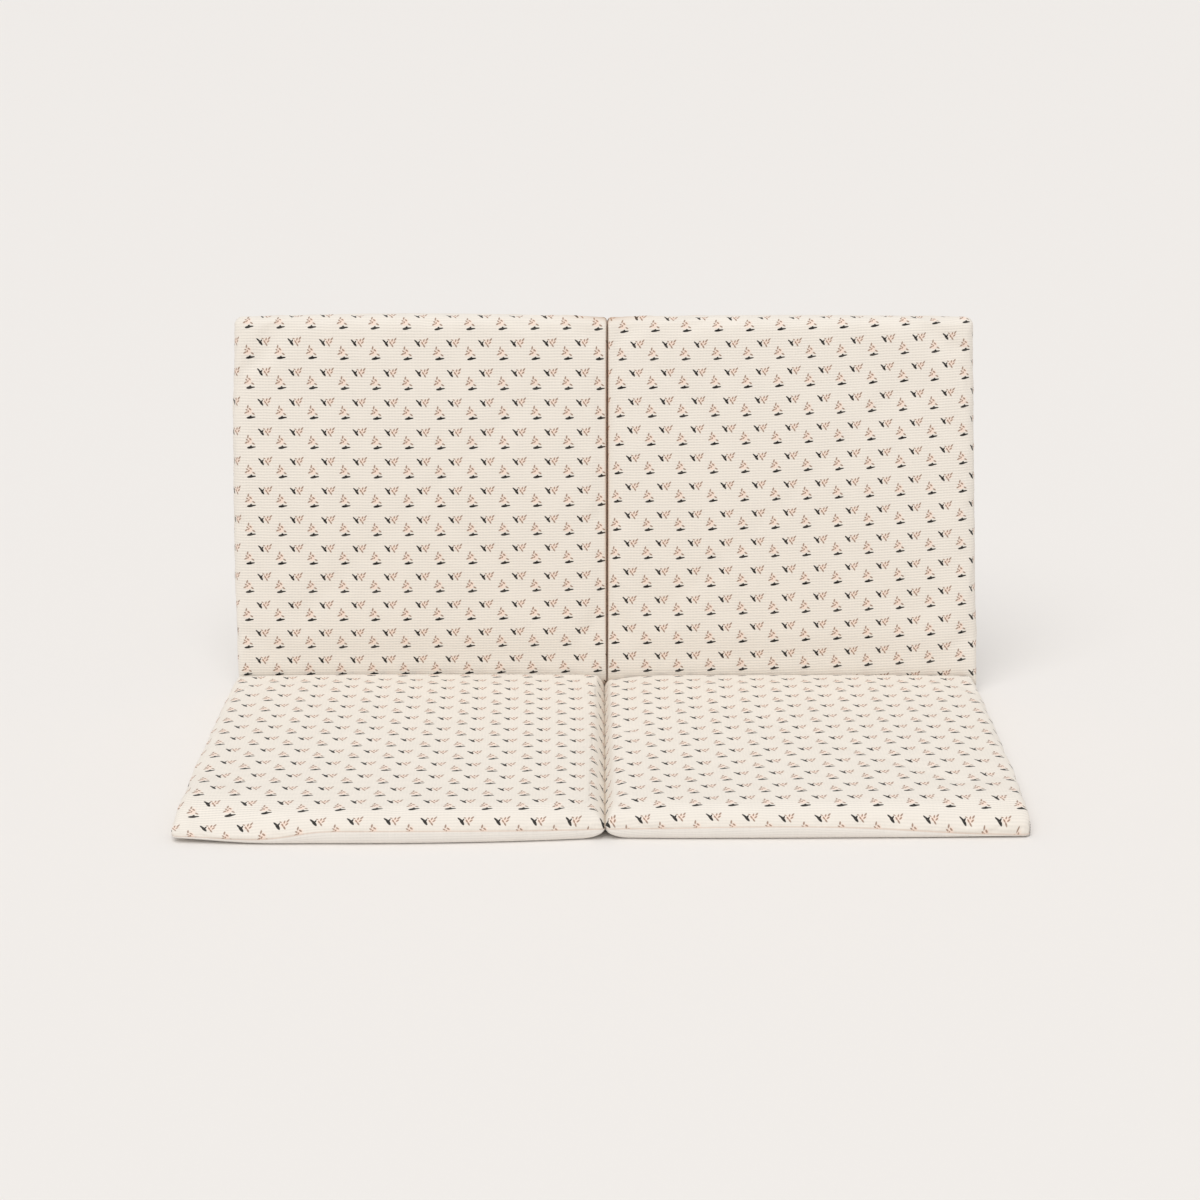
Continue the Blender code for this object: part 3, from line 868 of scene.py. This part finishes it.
def sewn_shell(above, below):
    """The points and faces of two grids of cloth sewn together along their rim, with the number
    of each of the lower grid's points."""
    size = len(above)
    upper_number = np.arange(size * size).reshape(size, size)
    lower_number = upper_number.copy()
    inner = np.zeros((size, size), bool)
    inner[1:-1, 1:-1] = True
    lower_number[inner] = size * size + np.arange(inner.sum())
    points = np.concatenate([above.reshape(-1, 3), below[inner]])
    faces = np.concatenate([squares(upper_number), squares(lower_number)[:, ::-1]])
    return points, faces, lower_number


def between_rings(moved):
    """Spreads what was worked out on every other ring to the rings between them, each from its
    four nearest neighbours."""
    for axis in (0, 1):
        moved = np.moveaxis(moved, axis, 0)
        wider = np.concatenate([moved[:1], moved, moved[-1:]])
        full = np.empty((2 * len(moved) - 1, *moved.shape[1:]))
        full[::2] = moved
        full[1::2] = (9 * (moved[:-1] + moved[1:]) - wider[:-3] - wider[3:]) / 16
        moved = np.moveaxis(full, 0, axis)
    return moved


def filled_out(above, below):
    """How far the points of a pad's two cloths move when the loose cover fills out. The cloth is
    simulated from a slightly thinner pad, on every other ring, and sewn fast along its rim."""
    start, faces, lower_number = sewn_shell(above[::2, ::2], below[::2, ::2])
    size = len(lower_number)
    mesh = bpy.data.meshes.new("loose_cover")
    mesh.from_pydata((start * (1, 1, START_THINNER)).tolist(), [], faces.tolist())
    loose = bpy.data.objects.new("loose_cover", mesh)
    scene.collection.objects.link(loose)
    sewn = loose.vertex_groups.new(name="sewn")
    rim = np.concatenate([lower_number[[0, -1]].ravel(), lower_number[:, [0, -1]].ravel()])
    sewn.add(rim.tolist(), 1.0, "REPLACE")
    cloth = loose.modifiers.new("fill", "CLOTH")
    cloth.point_cache.frame_end = FILL_FRAMES
    for setting, value in CLOTH_SETTINGS.items():
        setattr(cloth.settings, setting, value)
    cloth.settings.effector_weights.gravity = 0
    cloth.settings.vertex_group_mass = "sewn"
    for frame_number in range(1, FILL_FRAMES + 1):
        scene.frame_set(frame_number)
    filled = loose.evaluated_get(bpy.context.evaluated_depsgraph_get()).data
    places = np.empty(start.size, np.float32)
    filled.vertices.foreach_get("co", places)
    moved = places.reshape(-1, 3) - start
    bpy.data.objects.remove(loose)
    bpy.data.meshes.remove(mesh)
    scene.frame_set(1)

    far = np.maximum(np.linalg.norm(moved, axis=1, keepdims=True), TINY)
    moved = moved / far * MOST_MOVED * np.tanh(far / MOST_MOVED)
    above_moved = moved[: size * size].reshape(size, size, 3)
    return between_rings(above_moved), between_rings(moved[lower_number])


def smooth_step(value, low, high):
    """0 below low and 1 above high, smoothly between them."""
    share = np.clip((value - low) / (high - low), 0, 1)
    return share * share * (3 - 2 * share)


def free_to_move(cloth, pad):
    """1 where a pad's cloth is free, falling to 0 where it meets the other pads."""
    from_stitch = np.abs(cloth[..., :1] - stitch_x[pad["half"]])
    from_fold = np.abs(cloth[..., 1:2])
    return smooth_step(from_stitch, *FREE_FROM_STITCH) * smooth_step(from_fold, *FREE_FROM_FOLD)


def make_pad(name, pad):
    """A filled pad as one closed mesh: printed cloth above its seam and plain cloth below."""
    above, *above_maps = pad_cloth(pad, under=False)
    below, *below_maps = pad_cloth(pad, under=True)
    above_moved, below_moved = filled_out(above, below)
    above = above + above_moved * free_to_move(above, pad)
    if pad["half"] == "upper":  # a lying pad's under cloth stays flat on the floor
        below = below + below_moved * free_to_move(below, pad)
    points, faces, lower_number = sewn_shell(above, below)
    corner = squares(np.arange(lower_number.size).reshape(lower_number.shape))

    mesh = bpy.data.meshes.new(name + "_cover")
    mesh.from_pydata(stand(points, pad["half"]).tolist(), [], faces.tolist())
    for layer, upper_map, lower_map in zip(("cloth", "seam", "crease"), above_maps, below_maps):
        place = np.concatenate(
            [upper_map.reshape(-1, 2)[corner], lower_map.reshape(-1, 2)[corner][:, ::-1]]
        )
        mesh.uv_layers.new(name=layer).data.foreach_set("uv", place.astype(np.float32).ravel())
    mesh.materials.append(printed_cloth[pad["half"]])
    mesh.materials.append(plain_cloth)
    mesh.polygons.foreach_set("material_index", np.repeat([0, 1], len(faces) // 2))
    mesh.shade_smooth()
    made = bpy.data.objects.new(name + "_cover", mesh)
    scene.collection.objects.link(made)
    return made


for pad_name, pad in PADS.items():
    cover = make_pad(pad_name, pad)
    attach(cover, "root")
    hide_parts(pad_name)

# Between the pads the two cloths are sewn flat together, in a band along each stitch line. The
# bands are the cover's own cotton, in two thicknesses, and hold the four pads in their pockets.
BAND_COLOUR = (206, 188, 168)  # it lies deep in a crease, where little light comes
BAND_WEAVE = 1600  # threads to the metre
BAND_MOTTLE_SCALE = 60.0
BAND_MOTTLE_SHARE = 0.9
BAND_MOTTLE_EDGE = (0.35, 0.7)


def band_finish():
    """The sewn cloths' weave, on the band's own place."""
    made = bpy.data.materials.new("sewn_cloth")
    made.use_nodes = True
    shader = made.node_tree.nodes["Principled BSDF"]
    wire = Wire(made.node_tree)
    place = wire.node("ShaderNodeTexCoord", output=3)
    threads = wire.node(
        "ShaderNodeTexVoronoi",
        {"feature": "F1", "distance": "CHEBYCHEV"},
        {"Vector": place, "Scale": BAND_WEAVE, "Randomness": THREAD_UNEVEN},
    )
    mottle = wire.node("ShaderNodeTexNoise", inputs={"Vector": place, "Scale": BAND_MOTTLE_SCALE})
    base = wire.node("ShaderNodeRGB")
    base.socket.default_value = srgb(*BAND_COLOUR)
    darker = srgb(*(value * BAND_MOTTLE_SHARE for value in BAND_COLOUR))
    tone = base.over(darker, mottle.step(*BAND_MOTTLE_EDGE))
    relief = wire.node(
        "ShaderNodeBump", inputs={"Strength": 1.0, "Distance": THREAD_DEPTH, "Height": threads}
    )
    made.node_tree.links.new(tone.socket, shader.inputs["Base Color"])
    made.node_tree.links.new(relief.socket, shader.inputs["Normal"])
    shader.inputs["Roughness"].default_value = ROUGHNESS
    return made


sewn_cloth = band_finish()
for band in ("stitch_lower", "stitch_upper", "stitch_fold"):
    bpy.data.objects[band].data.materials.clear()
    bpy.data.objects[band].data.materials.append(sewn_cloth)

# A row of stitches in pale cotton thread runs along both faces of the two bands that part the
# left pads from the right ones, and sews the cover's cloths together there.
THREAD_COLOUR = (232, 222, 205)
TWIST_SCALE = 900.0
TWIST_SHARE = 0.82  # the thread's colour between its strands, beside its own
TWIST_EDGE = (0.4, 0.65)
STITCH_PITCH = 3.4 * MM
STITCH_LENGTH = 2.7 * MM
STITCH_WIDTH = 0.5 * MM
STATION_DIGITS = 5  # a band's corners that agree to this digit of a metre are at one station
STATION_APART = 2e-5

thread_finish = bpy.data.materials.new("cotton_thread")
thread_finish.use_nodes = True
thread_shader = thread_finish.node_tree.nodes["Principled BSDF"]
thread_wire = Wire(thread_finish.node_tree)
twist = thread_wire.node(
    "ShaderNodeTexNoise",
    inputs={
        "Vector": thread_wire.node("ShaderNodeTexCoord", output=3),
        "Scale": TWIST_SCALE,
        "Detail": 2.0,
    },
)
thread_tone = thread_wire.node("ShaderNodeRGB")
thread_tone.socket.default_value = srgb(*THREAD_COLOUR)
thread_tone = thread_tone.over(
    srgb(*(value * TWIST_SHARE for value in THREAD_COLOUR)), twist.step(*TWIST_EDGE)
)
thread_finish.node_tree.links.new(thread_tone.socket, thread_shader.inputs["Base Color"])
thread_shader.inputs["Roughness"].default_value = 0.7


def stitch_tree():
    """Lays a stitch at every pitch along each edge of a mesh, turned along the edge."""
    tree = bpy.data.node_groups.new("row_of_stitches", "GeometryNodeTree")
    tree.interface.new_socket("Geometry", in_out="INPUT", socket_type="NodeSocketGeometry")
    for name in ("Pitch", "Length", "Width"):
        tree.interface.new_socket(name, in_out="INPUT", socket_type="NodeSocketFloat")
    tree.interface.new_socket("Finish", in_out="INPUT", socket_type="NodeSocketMaterial")
    tree.interface.new_socket("Geometry", in_out="OUTPUT", socket_type="NodeSocketGeometry")
    wire = Wire(tree)
    given = tree.nodes.new("NodeGroupInput").outputs
    size = {name: Wire(tree, given[name]) for name in ("Pitch", "Length", "Width")}
    path = wire.node("GeometryNodeMeshToCurve", inputs={0: Wire(tree, given["Geometry"])})
    dots = tree.nodes.new("GeometryNodeCurveToPoints")
    dots.mode = "LENGTH"
    tree.links.new(path.socket, dots.inputs["Curve"])
    tree.links.new(size["Pitch"].socket, dots.inputs["Length"])
    grain = wire.node(
        "GeometryNodeMeshUVSphere", inputs={"Segments": 6, "Rings": 4, "Radius": 0.5}
    )
    shape = wire.node(
        "ShaderNodeCombineXYZ", inputs={0: size["Width"], 1: size["Width"], 2: size["Length"]}
    )
    along = wire.node(
        "FunctionNodeAlignRotationToVector",
        {"axis": "Z"},
        {"Vector": Wire(tree, dots.outputs["Tangent"])},
    )
    laid = wire.node(
        "GeometryNodeInstanceOnPoints",
        inputs={
            "Points": Wire(tree, dots.outputs["Points"]),
            "Instance": grain,
            "Rotation": along,
            "Scale": shape,
        },
    )
    whole = wire.node("GeometryNodeRealizeInstances", inputs={"Geometry": laid})
    dressed = wire.node(
        "GeometryNodeSetMaterial",
        inputs={"Geometry": whole, "Material": Wire(tree, given["Finish"])},
    )
    result = tree.nodes.new("NodeGroupOutput")
    tree.links.new(dressed.socket, result.inputs["Geometry"])
    return tree


def band_faces(band, half):
    """The middle line of a band's two faces, from its node's own corners."""
    corners = np.array([tuple(vertex.co) for vertex in bpy.data.objects[band].data.vertices])
    back_turn = np.array(Matrix.Rotation(math.pi / 2 - LEAN, 3, "X"))
    flat = corners - np.array(fold_line)
    flat = flat - (0, 0, FOLD_DROP) if half == "lower" else flat @ back_turn
    stations = np.unique(np.round(flat[:, 1], STATION_DIGITS))
    lines = []
    for side in (np.max, np.min):
        line = []
        for station in stations:
            here = flat[np.abs(flat[:, 1] - station) < STATION_APART]
            line.append((here[:, 0].mean(), station, side(here[:, 2])))
        lines.append(stand(np.array(line), half))
    return lines


row_of_stitches = stitch_tree()
inputs = {item.name: item.identifier for item in row_of_stitches.interface.items_tree}
for band, half in (("stitch_lower", "lower"), ("stitch_upper", "upper")):
    points, edges = [], []
    for line in band_faces(band, half):
        edges += [(len(points) + step, len(points) + step + 1) for step in range(len(line) - 1)]
        points += [tuple(point) for point in line]
    path_mesh = bpy.data.meshes.new(band + "_path")
    path_mesh.from_pydata(points, edges, [])
    path = bpy.data.objects.new(band + "_path", path_mesh)
    scene.collection.objects.link(path)
    rows = path.modifiers.new("rows", "NODES")
    rows.node_group = row_of_stitches
    rows[inputs["Pitch"]] = STITCH_PITCH
    rows[inputs["Length"]] = STITCH_LENGTH
    rows[inputs["Width"]] = STITCH_WIDTH
    rows[inputs["Finish"]] = thread_finish
    drawn = path.evaluated_get(bpy.context.evaluated_depsgraph_get())
    thread_mesh = bpy.data.meshes.new_from_object(drawn)
    thread_mesh.name = band + "_thread"
    bpy.data.objects.remove(path)
    thread = bpy.data.objects.new(band + "_thread", thread_mesh)
    thread_mesh.shade_smooth()
    scene.collection.objects.link(thread)
    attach(thread, "root")
